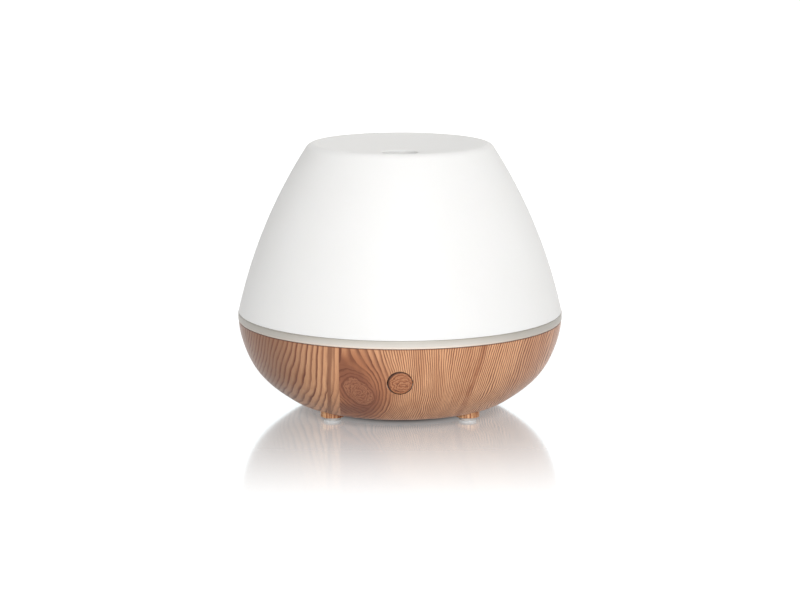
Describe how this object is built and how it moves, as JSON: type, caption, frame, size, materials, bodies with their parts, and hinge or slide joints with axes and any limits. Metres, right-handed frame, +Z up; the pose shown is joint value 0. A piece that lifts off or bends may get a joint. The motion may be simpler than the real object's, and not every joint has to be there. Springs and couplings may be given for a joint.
{
  "type": "essential oil diffuser",
  "caption": "Ultrasonic essential oil diffuser: wood-grain bowl on small feet, frosted tank rim, dished white cover with a central mist hole and a round front button.",
  "frame": {"origin": "on the surface it stands on, under the middle of the bowl", "axes": "+Z up through the mist hole, -Y towards the front with the button, +X to the right seen from the front"},
  "size_m": [0.14, 0.14, 0.1148],
  "materials": {
    "wood_print": "matt plastic with a printed wood-grain film",
    "frosted_tank": "frosted translucent polypropylene",
    "frosted_white": "frosted white polypropylene, fine matt texture",
    "milky_white": "milky polypropylene, satin",
    "rubber": "soft white rubber",
    "silicone": "translucent silicone",
    "zinc_screw": "zinc-plated steel",
    "piezo_metal": "nickel-plated ceramic",
    "retainer_steel": "stamped stainless steel",
    "circuit_board": "green solder mask",
    "white_board": "white solder mask",
    "black_plastic": "moulded black plastic",
    "grey_plastic": "moulded grey plastic",
    "ivory_plastic": "moulded nylon",
    "plunger_plastic": "moulded acetal",
    "nickel_pin": "nickel-plated brass",
    "ferrite": "sintered ferrite",
    "copper_wire": "enamelled copper wire",
    "black_epoxy": "moulded epoxy",
    "aluminium_fin": "extruded aluminium",
    "capacitor_sleeve": "shrink sleeve over aluminium",
    "ceramic_chip": "ceramic with tinned ends",
    "led_dome": "epoxy lens",
    "bronze": "sintered bronze",
    "polished_steel": "ground steel",
    "black_wire": "PVC insulation",
    "white_wire": "PVC insulation",
    "red_wire": "PVC insulation"
  },
  "bodies": {
    "base": {"air_duct": "grey_plastic", "air_tower": "frosted_tank", "base_shell": "wood_print", "board_connectors": "ivory_plastic", "board_screws": "zinc_screw", "case_screws": "zinc_screw", "controller_chip": "black_epoxy", "dc_socket": "black_plastic", "dc_socket_pin": "nickel_pin", "drive_transistor": "black_epoxy", "electrolytic_capacitors": "capacitor_sleeve", "fan_bearing": "bronze", "fan_frame": "black_plastic", "fan_lead": "black_wire", "fan_screws": "zinc_screw", "fan_stator": "copper_wire", "foot_pad_1": "rubber", "foot_pad_2": "rubber", "foot_pad_3": "rubber", "foot_pad_4": "rubber", "heat_sink": "aluminium_fin", "inductor_core": "ferrite", "inductor_winding": "copper_wire", "led_board": "white_board", "led_board_screws": "zinc_screw", "led_lead": "white_wire", "leds": "led_dome", "main_board": "circuit_board", "piezo_disc": "piezo_metal", "small_components": "ceramic_chip", "switch_board": "circuit_board", "switch_board_screws": "zinc_screw", "switch_lead": "white_wire", "tact_switch": "black_plastic", "tank_gasket": "silicone", "transducer_lead": "red_wire", "transducer_retainer": "retainer_steel", "transducer_screws": "zinc_screw", "transducer_seal": "silicone", "water_tank": "frosted_tank"},
    "mist_guide": {"mist_guide": "milky_white"},
    "outer_cover": {"outer_cover": "frosted_white"},
    "button": {"power_button": "wood_print", "switch_plunger": "plunger_plastic"},
    "fan_rotor": {"fan_rotor": "black_plastic", "fan_magnet": "ferrite", "fan_shaft": "polished_steel"}
  },
  "joints": [
    {"name": "guide_lift", "type": "slide", "parent": "base", "child": "mist_guide", "axis": [0, 0, 1], "range_m": [0, 0.06]},
    {"name": "cover_lift", "type": "slide", "parent": "mist_guide", "child": "outer_cover", "axis": [0, 0, 1], "range_m": [0, 0.09]},
    {"name": "button_press", "type": "slide", "parent": "base", "child": "button", "axis": [0, 1, 0], "range_m": [0, 0.0005], "stiffness_N_per_m": 2000},
    {"name": "fan_spin", "type": "hinge", "parent": "base", "child": "fan_rotor", "pos_m": [0, -0.019, 0.0114], "axis": [0, 0, 1], "continuous": true}
  ]
}
